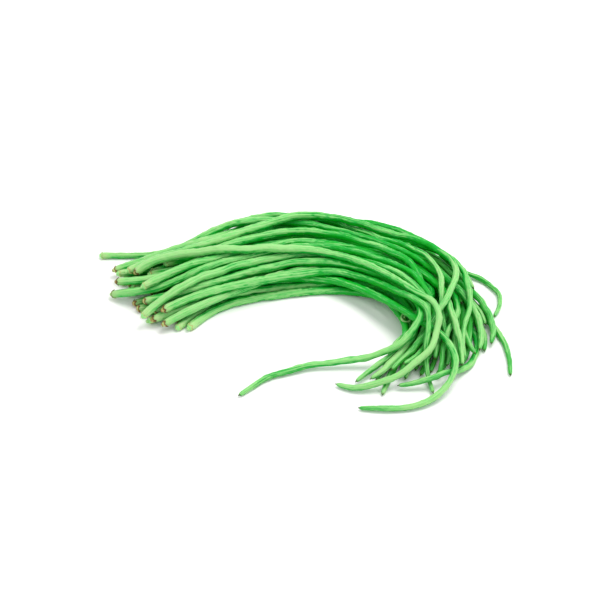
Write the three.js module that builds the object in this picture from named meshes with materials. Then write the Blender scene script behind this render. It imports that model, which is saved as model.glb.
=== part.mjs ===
// A bunch of yardlong beans: long, thin, loose pods laid down together in a hook-shaped heap.
// Millimetres, +Z up. The origin is on the ground, under the middle of the heap's box.
//
// Each pod is one piece, grown with its calyx and the stub of its stalk. It starts as a route,
// from stalk to tip. All the pods then settle together: they sag, push each other apart and come
// to rest on the ground and on each other, each at its own length. Last, each settled pod becomes
// one closed solid with a six-sided section.

import * as THREE from 'three';

// ---- Driving dimensions ----

const STEP = 16; // spacing of the points that a pod bends at
const GAP = 0.4; // clear space kept between two pods
const SIDES = 6; // sides of a pod's section
const GROUND_CONTACT = 0.95; // an underside closer to the ground than this rests on it

const STALK_LENGTH = 4; // stub of stalk in front of the pod's shoulder
const NECK_LENGTH = 11; // end over which a pod thickens to its full girth, the stub included
const SLIM_FROM = 0.35; // share of its length past which a pod grows slimmer
const SLIMMEST = 0.76; // share of its full girth that it would have left at its end
const TIP_LENGTH = 30; // free end over which a pod thins to its beak
const TIP_FULLNESS = 0.25; // how far the tip's thinning curve reaches past the beak, as a share
const STALK_RADIUS = 2.3;
const CALYX_RADIUS = 3.2;
const BEAK_RADIUS = 1.1;
const END_STATIONS = [1.2, 6]; // distances from either end at which the section is drawn

// ---- Pods whose routes were laid one by one: girth, then the route from stalk to tip ----

const LAID_PODS = [
  // The stray pod that starts apart at the back and follows the back edge over the heap.
  { girth: 6.9, route: [[-205, 106, 4], [-154, 105, 4], [-124, 112, 10], [-88, 129, 20], [-45, 136, 28],
    [-6, 134, 31], [33, 121, 34], [71, 98, 38], [107, 69, 41], [120, 48, 42], [125, 25, 40],
    [122, 1, 32], [119, -14, 21], [123, -39, 10], [118, -60, 6]] },
  // Three pods from the back of the stalk pile to the outer side of the bend.
  { girth: 7.4, route: [[-181, 75, 11], [-151, 79, 16], [-128, 88, 22], [-104, 95, 30], [-64, 109, 36],
    [-26, 118, 36], [13, 112, 36], [53, 98, 35], [89, 78, 36], [114, 55, 34], [135, 34, 27],
    [150, 14, 21], [160, -16, 12], [156, -42, 8]] },
  { girth: 7.5, route: [[-189, 73, 11], [-151, 76, 18], [-127, 80, 25], [-88, 89, 34], [-58, 115, 30],
    [-27, 134, 24], [33, 132, 26], [70, 113, 27], [109, 88, 29], [134, 70, 31], [148, 42, 31],
    [150, 20, 27], [148, -6, 17], [139, -24, 12], [136, -58, 7]] },
  { girth: 7.9, route: [[-174, 63, 20], [-151, 72, 24], [-112, 77, 33], [-83, 83, 39], [-45, 102, 43],
    [-6, 121, 44], [33, 118, 43], [71, 102, 41], [111, 89, 40], [138, 62, 39], [143, 44, 38],
    [138, 26, 36], [129, 2, 34], [111, -23, 23], [98, -44, 17], [79, -70, 11]] },
  // The long pale pod that lies on top of all the others.
  { girth: 8.0, route: [[-167, 58, 27], [-150, 66, 34], [-101, 71, 40], [-63, 72, 42], [-6, 79, 40],
    [33, 71, 39], [69, 45, 41], [97, 8, 44], [109, -7, 45], [117, -17, 40], [113, -31, 28],
    [108, -44, 21], [100, -54, 17], [90, -62, 13], [78, -71, 10], [62, -78, 7], [48, -82, 5],
    [35, -81, 4], [24, -77, 4]] },
  { girth: 7.7, route: [[-179, 50, 14], [-140, 48, 22], [-107, 61, 30], [-78, 83, 35], [-45, 96, 36],
    [-6, 104, 37], [32, 96, 37], [70, 77, 37], [103, 54, 35], [115, 26, 28], [114, -1, 15],
    [106, -34, 8], [100, -52, 6]] },
  { girth: 7.6, route: [[-183, 49, 6], [-158, 40, 18], [-134, 39, 25], [-88, 59, 32], [-50, 72, 34],
    [-7, 89, 35], [33, 87, 35], [70, 68, 35], [100, 46, 33], [111, 16, 29], [118, -19, 21], [113, -52, 16]] },
  { girth: 7.4, route: [[-156, 27, 25], [-116, 50, 33], [-82, 66, 33], [-44, 78, 30], [-6, 90, 28],
    [51, 80, 27], [88, 62, 27], [119, 21, 28], [124, -20, 25], [131, -48, 15], [132, -70, 12]] },
  { girth: 7.7, route: [[-149, -2, 12], [-137, 10, 18], [-113, 27, 28], [-82, 49, 31], [-47, 69, 31],
    [3, 80, 28], [61, 56, 29], [99, 16, 28], [113, -18, 18], [105, -41, 12]] },
  // The pod that ends furthest out in front of the heap.
  { girth: 7.8, route: [[-128, 22, 20], [-100, 33, 26], [-63, 53, 28], [-26, 72, 28], [13, 76, 29],
    [52, 65, 32], [83, 43, 36], [100, 16, 37], [108, -12, 34], [104, -27, 28], [91, -40, 18],
    [69, -48, 9], [39, -50, 6], [3, -55, 5], [-28, -65, 4], [-44, -77, 4], [-55, -86, 4]] },
  { girth: 7.6, route: [[-133, 13, 12], [-109, 27, 17], [-64, 47, 21], [-7, 67, 22], [32, 68, 25],
    [70, 36, 30], [97, -6, 38], [108, -21, 38], [105, -38, 28], [104, -52, 15], [105, -64, 8],
    [110, -86, 4]] },
  // The pod that loops round the front of the bend.
  { girth: 7.6, route: [[-123, 11, 5], [-102, 33, 10], [-64, 54, 12], [-7, 69, 11], [32, 62, 16],
    [69, 31, 24], [96, -2, 29], [111, -19, 28], [122, -30, 24], [129, -50, 21], [127, -65, 14],
    [116, -84, 8], [99, -98, 5], [74, -106, 5], [45, -108, 4]] },
  { girth: 7.4, route: [[-134, 8, 10], [-109, 24, 16], [-64, 49, 16], [-7, 67, 16], [33, 69, 17],
    [71, 55, 18], [104, 26, 12], [112, 7, 7], [105, -18, 4], [83, -48, 4]] },
  // Two pods along the inside of the bend.
  { girth: 7.5, route: [[-106, 8, 4], [-88, 34, 4], [-64, 50, 4], [-6, 64, 5], [32, 61, 7],
    [70, 41, 12], [90, 6, 15], [95, -16, 15], [84, -38, 11], [66, -57, 6], [54, -73, 4]] },
  { girth: 7.4, route: [[-120, 0, 4], [-101, 25, 4], [-64, 50, 4], [-6, 66, 4], [42, 64, 4],
    [77, 41, 4], [97, 8, 4], [95, -21, 4], [84, -48, 4], [74, -68, 4], [66, -86, 4]] },
];

// ---- Pods that follow the heap's own curve ----
// Each runs at a share of the way across the heap, from its inner to its outer edge, and at a
// height. The stations that it runs from and to count the points of the two edges below.

const INNER_EDGE = [[-139, -1], [-110, 13], [-63, 48], [-6, 64], [46, 62], [89, 36], [104, 6], [98, -22],
  [82, -44]];
const OUTER_EDGE = [[-202, 88], [-128, 102], [-82, 119], [-15, 134], [56, 130], [125, 97], [153, 46],
  [160, -6], [154, -50]];
const HEAP_SWELL = [0.7, 0.85, 1, 1, 1, 0.95, 0.85, 0.6, 0.45]; // height at each station, as a share
const LOWEST = 3.9; // height of a pod's middle when it lies on the ground
const WEAVE = 0.035; // how far a pod strays to either side, as a share of the way across
const WEAVE_WAVE = 1.7; // radians of that weave in one station
const WEAVE_TURN = 2.4; // radians between one pod's weave and the next one's
const INNERMOST = 0.03; // least share of the way across

const LANE_PODS = [
  // Bottom layer, inside to outside.
  { girth: 7.3, across: 0.13, height: 3.9, from: 0.1, to: 6.6,
    tail: [[94, -21, 6], [84, -37, 5], [74, -52, 5], [65, -64, 5]] },
  { girth: 7.7, across: 0.24, height: 3.9, from: 0, to: 6.8, tail: [[104, -40, 5], [97, -56, 4]] },
  { girth: 7.5, across: 0.36, height: 3.9, from: 1.6, to: 7.0, tail: [[112, -44, 4], [106, -62, 4]] },
  { girth: 7.3, across: 0.48, height: 3.9, from: 0, to: 7.4 },
  { girth: 7.5, across: 0.6, height: 3.9, from: 1.4, to: 7.7 },
  { girth: 7.7, across: 0.72, height: 3.9, from: 0, to: 6.0,
    tail: [[156, 0, 8], [162, -20, 6], [161, -38, 5]] },
  { girth: 7.3, across: 0.84, height: 3.9, from: 0.3, to: 5.6,
    tail: [[156, 26, 9], [168, 2, 9], [177, -17, 5], [182, -38, 5], [181, -71, 4]] },
  { girth: 6.6, across: 0.95, height: 3.9, from: 0.3, to: 5.2,
    tail: [[152, 66, 6], [168, 58, 5], [179, 47, 5], [184, 31, 5], [181, 16, 5], [174, 4, 4]] },
  // Second layer.
  { girth: 7.5, across: 0.07, height: 10.8, from: 0.2, to: 6.4, tail: [[97, -32, 8], [84, -56, 5]] },
  { girth: 7.2, across: 0.17, height: 10.8, from: 0, to: 6.6, tail: [[102, -38, 8], [90, -70, 5]] },
  { girth: 7.5, across: 0.28, height: 10.8, from: 1.5, to: 6.7,
    tail: [[105, -42, 9], [94, -56, 7], [83, -63, 5]] },
  { girth: 7.4, across: 0.4, height: 10.8, from: 0, to: 6.8,
    tail: [[124, -36, 8], [118, -52, 5], [108, -66, 4]] },
  { girth: 7.9, across: 0.52, height: 10.8, from: 0.9, to: 5.8,
    tail: [[132, 20, 12], [128, -6, 12], [121, -21, 12], [113, -40, 10]] },
  { girth: 7.4, across: 0.64, height: 10.8, from: 0.1, to: 6.4,
    tail: [[150, -18, 8], [147, -38, 6], [136, -58, 5], [126, -66, 9], [115, -73, 13], [104, -79, 12],
      [88, -81, 7], [73, -82, 5]] },
  { girth: 7.2, across: 0.74, height: 10.8, from: 0, to: 6.2,
    tail: [[156, 12, 11], [165, -9, 5]] },
  { girth: 7.2, across: 0.88, height: 10.8, from: 0.4, to: 6.0,
    tail: [[165, -10, 8], [165, -28, 5], [162, -38, 4]] },
  // Third layer.
  { girth: 7.5, across: 0.12, height: 17.6, from: 0.2, to: 6.8 },
  { girth: 7.7, across: 0.24, height: 17.6, from: 0.1, to: 7.3 },
  { girth: 7.4, across: 0.37, height: 17.6, from: 1.3, to: 6.6,
    tail: [[125, -33, 9], [120, -47, 6], [117, -58, 4]] },
  { girth: 7.5, across: 0.5, height: 17.6, from: 0.2, to: 5.6,
    tail: [[126, 32, 15], [132, 12, 15], [123, 0, 17], [109, 3, 19], [92, 5, 20]] },
  { girth: 7.4, across: 0.62, height: 17.6, from: 0.1, to: 7.0, tail: [[131, -36, 10], [133, -60, 6]] },
  { girth: 7.5, across: 0.74, height: 17.6, from: 0.5, to: 6.6, tail: [[139, -24, 10], [146, -48, 6]] },
  { girth: 7.2, across: 0.86, height: 17.6, from: 0.9, to: 5.9 },
  // Fourth layer and the filling under the top pods.
  { girth: 7.2, across: 0.3, height: 24.4, from: 1.5, to: 6.5,
    tail: [[113, -33, 9], [111, -47, 6], [110, -60, 4]] },
  { girth: 7.4, across: 0.43, height: 24.4, from: 0.3, to: 6.5,
    tail: [[113, -33, 12], [107, -50, 7], [98, -62, 4]] },
  { girth: 7.5, across: 0.56, height: 24.4, from: 0.4, to: 6.6,
    tail: [[121, -28, 16], [119, -52, 10], [118, -72, 6]] },
  { girth: 7.4, across: 0.68, height: 24.4, from: 0.5, to: 6.4 },
  { girth: 7.0, across: 0.8, height: 24.4, from: 1.5, to: 6.1,
    tail: [[141, -20, 10], [141, -37, 7], [137, -55, 4]] },
  { girth: 7.2, across: 0.48, height: 31.2, from: 1.8, to: 5.9 },
  { girth: 7.2, across: 0.6, height: 31.2, from: 0.7, to: 5.8 },
  { girth: 7.0, across: 0.72, height: 31.2, from: 1.5, to: 5.8 },
  { girth: 7.0, across: 0.92, height: 24.4, from: 2.2, to: 6.2 },
  { girth: 7.2, across: 0.86, height: 31.2, from: 2.3, to: 6.0 },
  { girth: 7.2, across: 0.26, height: 24.4, from: 1.2, to: 5.9,
    tail: [[105, -16, 18], [100, -29, 14], [91, -42, 11], [81, -53, 8], [70, -64, 6], [57, -73, 5]] },
];

// ---- Settling ----

const SAG_ROUNDS = 900; // rounds in which the pods sag and push each other apart
const CLEAR_ROUNDS = 1500; // most rounds in which they only push each other apart
const CALMING_ROUNDS = 750; // rounds of those in which uneven shifts still even out, less and less
const SAG = 0.12; // fall of a pod in a round, before the others hold it up
const ROUTE_PULL = 0.006; // share of the way back to its route that a pod moves in a round
const END_PULL = 0.03; // the same share for the points near a pod's two ends
const FREE_POINTS = 3; // how many points from each end count as near it
const STIFFNESS = 0.08; // share of an uneven shift between neighbouring points that evens out
const PUSH = 0.6; // share of an overlap taken up in a round
const ENOUGH = 0.32; // clear space at which settling may stop
const SEARCH_EVERY = 10; // rounds between two searches for neighbours
const SEARCH_REACH = 9; // extra reach of that search

const FEWEST_STEPS = 4; // a pod has at least this many steps between its points
const OWN_REACH = 4; // steps along a pod before it can touch itself again
const WIDEST_GIRTH = 10; // no pod is thicker than this
const TINY = 1e-6; // stands for nothing in lengths and shares

const PALE = new THREE.Color(0xa8dc8c);
const DEEP = new THREE.Color(0x4fae4c);
const COLOUR_TURN = 2.4; // radians between one pod's shade and the next one's

/** A smooth curve through [x, y, z] points. */
function curveThrough(points) {
  return new THREE.CatmullRomCurve3(points.map((p) => new THREE.Vector3(...p)), false, 'centripetal');
}

/** The height share of the heap at a station. */
function swellAt(station) {
  const before = Math.min(Math.floor(station), HEAP_SWELL.length - 2);
  return THREE.MathUtils.lerp(HEAP_SWELL[before], HEAP_SWELL[before + 1], station - before);
}

/** The route of a pod that follows the heap, with a slight weave of its own. */
function laneRoute(lane, index) {
  const inner = curveThrough(INNER_EDGE.map(([x, y]) => [x, y, 0]));
  const outer = curveThrough(OUTER_EDGE.map(([x, y]) => [x, y, 0]));
  const last = INNER_EDGE.length - 1;
  const count = Math.ceil((lane.to - lane.from) * 2);
  const route = [];
  for (let i = 0; i <= count; i++) {
    const station = THREE.MathUtils.lerp(lane.from, lane.to, i / count);
    const weave = WEAVE * Math.sin(WEAVE_WAVE * station + WEAVE_TURN * index);
    const across = THREE.MathUtils.clamp(lane.across + weave, INNERMOST, 1);
    const ground = inner.getPoint(station / last).lerp(outer.getPoint(station / last), across);
    const height = LOWEST + (lane.height - LOWEST) * swellAt(station);
    route.push([ground.x, ground.y, height]);
  }
  return route.concat(lane.tail ?? []);
}

/** The share of a pod's full girth at a share of the way from its stalk to its tip. */
function slimness(share) {
  return THREE.MathUtils.mapLinear(Math.max(share, SLIM_FROM), SLIM_FROM, 1, 1, SLIMMEST);
}

/** A pod as points one step apart along its route, with the route kept to compare with. */
function strungPod({ girth, route }) {
  const curve = curveThrough(route);
  const steps = Math.max(FEWEST_STEPS, Math.round(curve.getLength() / STEP));
  const home = curve.getSpacedPoints(steps);
  const points = home.map((p) => p.clone());
  const radii = home.map((p, i) => (girth / 2) * slimness(i / steps));
  return { radii, spacing: curve.getLength() / steps, home, points };
}

/** Nearest places on two segments: shares along them, and the vector from the first to the second. */
function nearest(a0, a1, b0, b1) {
  const ax = a1.x - a0.x;
  const ay = a1.y - a0.y;
  const az = a1.z - a0.z;
  const bx = b1.x - b0.x;
  const by = b1.y - b0.y;
  const bz = b1.z - b0.z;
  const cx = a0.x - b0.x;
  const cy = a0.y - b0.y;
  const cz = a0.z - b0.z;
  const aa = ax * ax + ay * ay + az * az;
  const bb = bx * bx + by * by + bz * bz;
  const ab = ax * bx + ay * by + az * bz;
  const ac = ax * cx + ay * cy + az * cz;
  const bc = bx * cx + by * cy + bz * cz;
  const spread = aa * bb - ab * ab;
  let s = spread > TINY ? THREE.MathUtils.clamp((ab * bc - ac * bb) / spread, 0, 1) : 0.5;
  const t = THREE.MathUtils.clamp((ab * s + bc) / bb, 0, 1);
  s = THREE.MathUtils.clamp((ab * t - ac) / aa, 0, 1);
  const x = bx * t - ax * s - cx;
  const y = by * t - ay * s - cy;
  const z = bz * t - az * s - cz;
  return { s, t, x, y, z, distance: Math.sqrt(x * x + y * y + z * z) };
}

/** Every two segments near enough to touch soon. */
function findNeighbours(pods) {
  const segments = [];
  pods.forEach((pod, owner) => {
    for (let i = 0; i + 1 < pod.points.length; i++) {
      const middle = pod.points[i].clone().add(pod.points[i + 1]).multiplyScalar(0.5);
      segments.push({ owner, i, middle });
    }
  });
  segments.sort((p, q) => p.middle.x - q.middle.x);
  const reach = STEP + WIDEST_GIRTH + SEARCH_REACH;
  const found = [];
  for (let m = 0; m < segments.length; m++) {
    const p = segments[m];
    for (let n = m + 1; n < segments.length && segments[n].middle.x - p.middle.x < reach; n++) {
      const q = segments[n];
      if (Math.abs(q.middle.y - p.middle.y) > reach || Math.abs(q.middle.z - p.middle.z) > reach) {
        continue;
      }
      if (p.owner === q.owner && Math.abs(p.i - q.i) < OWN_REACH) {
        continue;
      }
      const a = pods[p.owner].points;
      const b = pods[q.owner].points;
      const room = pods[p.owner].radii[p.i] + pods[q.owner].radii[q.i] + GAP;
      if (nearest(a[p.i], a[p.i + 1], b[q.i], b[q.i + 1]).distance < room + SEARCH_REACH) {
        const aRadii = pods[p.owner].radii;
        const bRadii = pods[q.owner].radii;
        found.push({ a, i: p.i, aRadii, b, j: q.i, bRadii });
      }
    }
  }
  return found;
}

/** Pushes overlapping neighbours apart and returns the least clear space met. */
function pushApart(neighbours) {
  let least = Infinity;
  const { lerp } = THREE.MathUtils;
  for (const { a, i, aRadii, b, j, bRadii } of neighbours) {
    const near = nearest(a[i], a[i + 1], b[j], b[j + 1]);
    const room = lerp(aRadii[i], aRadii[i + 1], near.s) + lerp(bRadii[j], bRadii[j + 1], near.t) + GAP;
    least = Math.min(least, near.distance - room + GAP);
    if (near.distance >= room || near.distance < TINY) {
      continue;
    }
    const { s, t } = near;
    const weight = (1 - s) ** 2 + s ** 2 + (1 - t) ** 2 + t ** 2;
    const share = (PUSH * (room - near.distance)) / (weight * near.distance);
    shift(a[i], near, -share * (1 - s));
    shift(a[i + 1], near, -share * s);
    shift(b[j], near, share * (1 - t));
    shift(b[j + 1], near, share * t);
  }
  return least;
}

function shift(point, along, amount) {
  point.x += along.x * amount;
  point.y += along.y * amount;
  point.z += along.z * amount;
}

/** Keeps a pod's points one spacing apart. */
function keepLength(pod) {
  for (let i = 0; i + 1 < pod.points.length; i++) {
    const p = pod.points[i];
    const q = pod.points[i + 1];
    const along = q.clone().sub(p);
    const share = (0.5 * (along.length() - pod.spacing)) / along.length();
    shift(p, along, share);
    shift(q, along, -share);
  }
}

/** Evens out a pod's shift from its route, so that it bends smoothly and keeps its own curve. */
function keepShape(pod, amount) {
  const { points, home } = pod;
  const shifts = points.map((p, i) => p.clone().sub(home[i]));
  const last = points.length - 1;
  for (let i = 1; i < last; i++) {
    const even = shifts[i - 1].clone().add(shifts[i + 1]).multiplyScalar(0.5).sub(shifts[i]);
    shift(points[i], even, amount);
  }
  const start = shifts[1].clone().multiplyScalar(2).sub(shifts[2]).sub(shifts[0]);
  const end = shifts[last - 1].clone().multiplyScalar(2).sub(shifts[last - 2]).sub(shifts[last]);
  shift(points[0], start, amount * 0.5);
  shift(points[last], end, amount * 0.5);
}

function keepOffGround(pod) {
  pod.points.forEach((p, i) => {
    p.z = Math.max(p.z, pod.radii[i]);
  });
}

/** Lets all the pods sag together, then pushes them clear of each other. */
function settle(pods) {
  let neighbours = [];
  for (let round = 0; round < SAG_ROUNDS; round++) {
    if (round % SEARCH_EVERY === 0) {
      neighbours = findNeighbours(pods);
    }
    for (const pod of pods) {
      const last = pod.points.length - 1;
      pod.points.forEach((p, i) => {
        const free = Math.min(i, last - i) < FREE_POINTS;
        const pull = free ? END_PULL : ROUTE_PULL;
        p.x += (pod.home[i].x - p.x) * pull;
        p.y += (pod.home[i].y - p.y) * pull;
        p.z -= SAG;
      });
      keepShape(pod, STIFFNESS);
      keepLength(pod);
    }
    pushApart(neighbours);
    pods.forEach(keepOffGround);
  }
  for (let round = 0; round < CLEAR_ROUNDS; round++) {
    if (round % SEARCH_EVERY === 0) {
      neighbours = findNeighbours(pods);
    }
    const calming = STIFFNESS * Math.max(0, 1 - round / CALMING_ROUNDS);
    for (const pod of pods) {
      keepShape(pod, calming);
      keepLength(pod);
    }
    const least = pushApart(neighbours);
    pods.forEach(keepOffGround);
    if (least > ENOUGH) {
      break;
    }
  }
}

// ---- Solids ----

/** A pod's radius at a distance from its stalk end. */
function radiusAt(distance, length, thickest) {
  const { smoothstep, lerp } = THREE.MathUtils;
  const full = thickest * slimness(distance / length);
  if (distance < NECK_LENGTH) {
    const stalk = lerp(STALK_RADIUS, CALYX_RADIUS, smoothstep(distance, 0, STALK_LENGTH));
    return lerp(stalk, full, smoothstep(distance, STALK_LENGTH, NECK_LENGTH));
  }
  const left = length - distance;
  return lerp(BEAK_RADIUS, full, Math.sqrt(smoothstep(left, -TIP_LENGTH * TIP_FULLNESS, TIP_LENGTH)));
}

/** The place at a distance along a string of points one spacing apart, and the way it heads. */
function placeAt(pod, distance) {
  const last = pod.points.length - 1;
  const steps = THREE.MathUtils.clamp(distance / pod.spacing, 0, last);
  const before = Math.min(Math.floor(steps + TINY), last - 1);
  const share = steps - before;
  const point = pod.points[before].clone().lerp(pod.points[before + 1], share);
  const heading = pod.points[before + 1].clone().sub(pod.points[before]).normalize();
  if (share < TINY && before > 0) {
    heading.add(pod.points[before].clone().sub(pod.points[before - 1]).normalize()).normalize();
  }
  return { point, heading };
}

/** One closed solid: a ring of corners at each station, and a corner at each end. */
function podGeometry(pod) {
  const length = pod.spacing * (pod.points.length - 1);
  const stations = [...END_STATIONS];
  for (let i = 1; i + 1 < pod.points.length; i++) {
    stations.push(i * pod.spacing);
  }
  stations.push(...END_STATIONS.map((distance) => length - distance).reverse());
  const corners = [pod.points[0].clone()];
  for (const station of stations) {
    const { point, heading } = placeAt(pod, station);
    const across = new THREE.Vector3(heading.y, -heading.x, 0).normalize();
    const up = across.clone().cross(heading);
    const radius = radiusAt(station, length, pod.radii[0]);
    for (let k = 0; k < SIDES; k++) {
      const angle = (2 * Math.PI * k) / SIDES;
      const corner = point.clone();
      shift(corner, across, radius * Math.cos(angle));
      shift(corner, up, radius * Math.sin(angle));
      if (corner.z < GROUND_CONTACT) {
        corner.z = 0;
      }
      corners.push(corner);
    }
  }
  corners.push(pod.points[pod.points.length - 1].clone());

  const faces = [];
  const ringStart = (ring) => 1 + ring * SIDES;
  for (let k = 0; k < SIDES; k++) {
    const next = (k + 1) % SIDES;
    faces.push(0, ringStart(0) + k, ringStart(0) + next);
    for (let ring = 0; ring + 1 < stations.length; ring++) {
      const here = ringStart(ring);
      const there = ringStart(ring + 1);
      faces.push(here + k, there + k, there + next, here + k, there + next, here + next);
    }
    const lastRing = ringStart(stations.length - 1);
    faces.push(corners.length - 1, lastRing + next, lastRing + k);
  }

  const geometry = new THREE.BufferGeometry();
  const places = corners.flatMap((corner) => corner.toArray());
  geometry.setAttribute('position', new THREE.Float32BufferAttribute(places, 3));
  geometry.setIndex(faces);
  geometry.computeVertexNormals();
  return geometry;
}

// ---- The bunch ----

const laneRoutes = LANE_PODS.map((lane, index) => ({ girth: lane.girth, route: laneRoute(lane, index) }));
const pods = [...LAID_PODS, ...laneRoutes].map(strungPod);
settle(pods);

const bunch = new THREE.Group();
pods.forEach((pod, index) => {
  const colour = DEEP.clone().lerp(PALE, (1 + Math.sin(COLOUR_TURN * index)) / 2);
  const material = new THREE.MeshStandardMaterial({ color: colour, roughness: 0.5, metalness: 0 });
  const mesh = new THREE.Mesh(podGeometry(pod), material);
  mesh.name = `pod_${String(index + 1).padStart(2, '0')}`;
  bunch.add(mesh);
});

const box = new THREE.Box3().setFromObject(bunch);
const middle = box.getCenter(new THREE.Vector3());
bunch.position.set(-middle.x, -middle.y, 0);
bunch.updateMatrixWorld(true);

export default bunch;
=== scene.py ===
"""A bunch of yardlong beans: long, thin pods in a loose, hook-shaped heap.

Each pod is one mesh with its calyx and the stub of its stalk. It follows the line that the plain
pod of the frame lies on, and gets its real section, seed swellings, seams and ends here.
"""

import math
from functools import partial
from types import SimpleNamespace

import bpy
import numpy as np
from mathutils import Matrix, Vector


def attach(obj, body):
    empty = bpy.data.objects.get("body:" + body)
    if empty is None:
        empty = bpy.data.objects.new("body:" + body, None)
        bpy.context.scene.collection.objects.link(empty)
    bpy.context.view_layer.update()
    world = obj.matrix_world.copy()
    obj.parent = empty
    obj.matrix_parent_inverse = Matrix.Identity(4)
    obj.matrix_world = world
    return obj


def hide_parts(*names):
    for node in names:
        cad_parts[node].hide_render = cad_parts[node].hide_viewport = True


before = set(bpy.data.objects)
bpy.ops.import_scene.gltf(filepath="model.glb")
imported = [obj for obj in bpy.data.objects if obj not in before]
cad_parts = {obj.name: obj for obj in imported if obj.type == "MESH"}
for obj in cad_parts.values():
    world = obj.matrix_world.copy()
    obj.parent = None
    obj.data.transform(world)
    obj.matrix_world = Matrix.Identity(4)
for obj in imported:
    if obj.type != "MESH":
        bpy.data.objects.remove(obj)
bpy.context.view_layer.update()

bl_info = {
    "name": "Yardlong Bean Bunch",
    "version": (1, 0, 0),
    "blender": (4, 5, 0),
    "location": "3D View > Sidebar > Beans",
    "description": "Builds a heap of yardlong bean pods on a plain floor",
    "category": "Add Mesh",
}

MM = 0.001  # metres in a millimetre

BODY = "root"
POD_NODES = sorted(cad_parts)

# ---- Pods ----

SECTION_SIDES = 6  # corners of a plain pod's section in the frame
SAME_PLACE = 6  # decimals of a metre to which two corners are one

# Tone of pods that are easy to tell apart, in order and then by name: 0 is deep green, 1 is pale.
FIRST_TONES = (
    0.70, 0.50, 0.56, 0.60, 0.90, 0.56, 0.50, 0.52, 0.64,
    0.60, 0.58, 0.60, 0.70, 0.74, 0.74, 0.74, 0.66,
)
KNOWN_TONES = dict(zip(POD_NODES, FIRST_TONES, strict=False)) | {
    "pod_22": 0.42,
    "pod_23": 0.42,
    "pod_24": 0.74,
    "pod_28": 0.80,
    "pod_29": 0.66,
    "pod_35": 0.80,
    "pod_49": 0.78,
}

# Change of tone along a pod, by the distance in millimetres past the middle of the bunch.
TONE_PLACES = (-165, -75, 5, 75, 145, 185, 235, 285)
TONE_CHANGES = (0.11, 0.05, -0.12, -0.34, -0.32, 0.0, 0.14, -0.16)

TAIL_PLACES = (170, 270)  # a pod grows slimmer between these distances from its stalk

# Pods that are slimmer or fuller than most in places: distances from the stalk, and growth of the
# radius there, in millimetres.
KNOWN_FULLNESS = {
    "pod_01": ((60, 110), (-0.55, 0.0)),
    "pod_02": ((320, 370), (0.0, 0.6)),
    "pod_05": ((140, 240, 310, 380, 460), (0.0, -0.3, -0.3, 0.0, 0.35)),
    "pod_06": ((260, 310), (0.0, 0.35)),
    "pod_08": ((290, 340), (0.0, 0.5)),
    "pod_09": ((200, 250), (0.0, 0.35)),
    "pod_11": ((250, 330), (0.0, -0.15)),
    "pod_13": ((190, 240), (0.0, 0.45)),
    "pod_15": ((200, 250), (0.0, 0.45)),
    "pod_16": ((220, 270), (0.0, 0.45)),
    "pod_21": ((330, 380), (0.0, 0.6)),
    "pod_24": ((200, 250), (0.0, 0.45)),
    "pod_25": ((240, 290), (0.0, 0.45)),
    "pod_26": ((180, 230), (0.0, 0.45)),
    "pod_31": ((320, 370), (0.0, 0.6)),
    "pod_36": ((330, 380), (0.0, 0.5)),
    "pod_37": ((310, 360), (0.0, 0.6)),
    "pod_43": ((270, 320), (0.0, 0.6)),
    "pod_49": ((200, 250), (0.0, 0.45)),
}

# Dryness of calyxes that are easy to tell apart, in order: 0 is fresh, 1 is brown and withered.
FIRST_DRYNESS = (0.0, 0.1, 0.65, 0.2, 0.8, 1.0, 0.3, 0.0, 0.0, 0.95, 0.85, 0.8, 0.7, 0.15, 0.0)
KNOWN_DRYNESS = dict(zip(POD_NODES, FIRST_DRYNESS, strict=False))

# Pods whose tip has withered and curled up: length drawn up and size of the curl in millimetres,
# turns, and lean.
CURLED_TIPS = {"pod_35": (5.0, 6.6, 1.4, math.radians(12))}
CURL_RADIUS = 1.25  # radius of such a thin tip, in millimetres

SKIN, CALYX, STALK = range(3)  # material places on a pod

# Lengths below are in millimetres. A pair of a length and a height describes soft random waves.

# Ends of a pod.
SHOULDER = (2.6, 3.4)  # distance from the stalk at which a pod's body starts, least and most
SCAR_RADIUS = (1.9, 2.3)  # radius of a pod's body where the stalk joins it, least and most
SHOULDER_RISE = 6.5  # length over which a pod grows from the scar to its full girth
SHOULDER_EARLY = 0.35  # how far before the shoulder that growth starts
FULL_FROM_STALK = 16.0  # length by the stalk that has the pod's full girth
STALK_STEPS = (9.0, 0.6)  # length by the stalk where sections lie closer, and their spacing
TIP_STEPS = (9.0, 0.7)  # the same by the tip
TAPER = 34.0  # length of the taper to the tip
TAPER_SHARE = 0.6  # share of the girth that is left at the end of the taper
TAPER_POWER = 0.9  # below 1, the taper starts gently
CURL_TAPER = 30.0  # length over which a pod thins to its curl
CURL_TIP = 0.7  # share of the curl's girth that is left at its end
BEAK = (1.2, 5.7)  # distances from the tip between which a pod rounds off to its beak
BEAK_RADIUS = 0.4

# Shape of a pod between its ends.
FIRST_SEED = (14, 24)  # distance from the stalk to the first seed, least and most
LAST_SEED = 20  # least distance from the tip to a seed
SEED_PLUMPNESS = (0.35, 1.0)  # least and most
SEED_WIDTH = (0.26, 0.34)  # as a share of the distance between seeds, least and most
SEED_STEP = (0.8, 1.25)  # distance to the next seed as a share of the usual, least and most
DETAIL_FADE = 12.0  # length over which the details fade towards both ends
PLAIN_TIP = 3.0  # length of the tip without them
UNEVEN = (48, 0.045)  # thicker and thinner stretches, as a share of the radius
MEAN_SWELLING = 0.45  # taken off, so that seeds don't make a pod fuller on average
FLATNESS = 0.035  # how flat a section is between two seeds
SEED_ROUNDNESS = 0.02  # how much rounder it is over a seed
WINDING = (420, 0.9)  # turning of the seams round the pod, in radians
SEAMS = ((0.0, 1.0, 0.13), (math.pi, 0.6, 0.10))  # angle, share of the depth, and width
SEAM_LIPS = (0.34, 0.16, 0.35)  # angle from the seam, width, and share of the seam's depth
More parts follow.
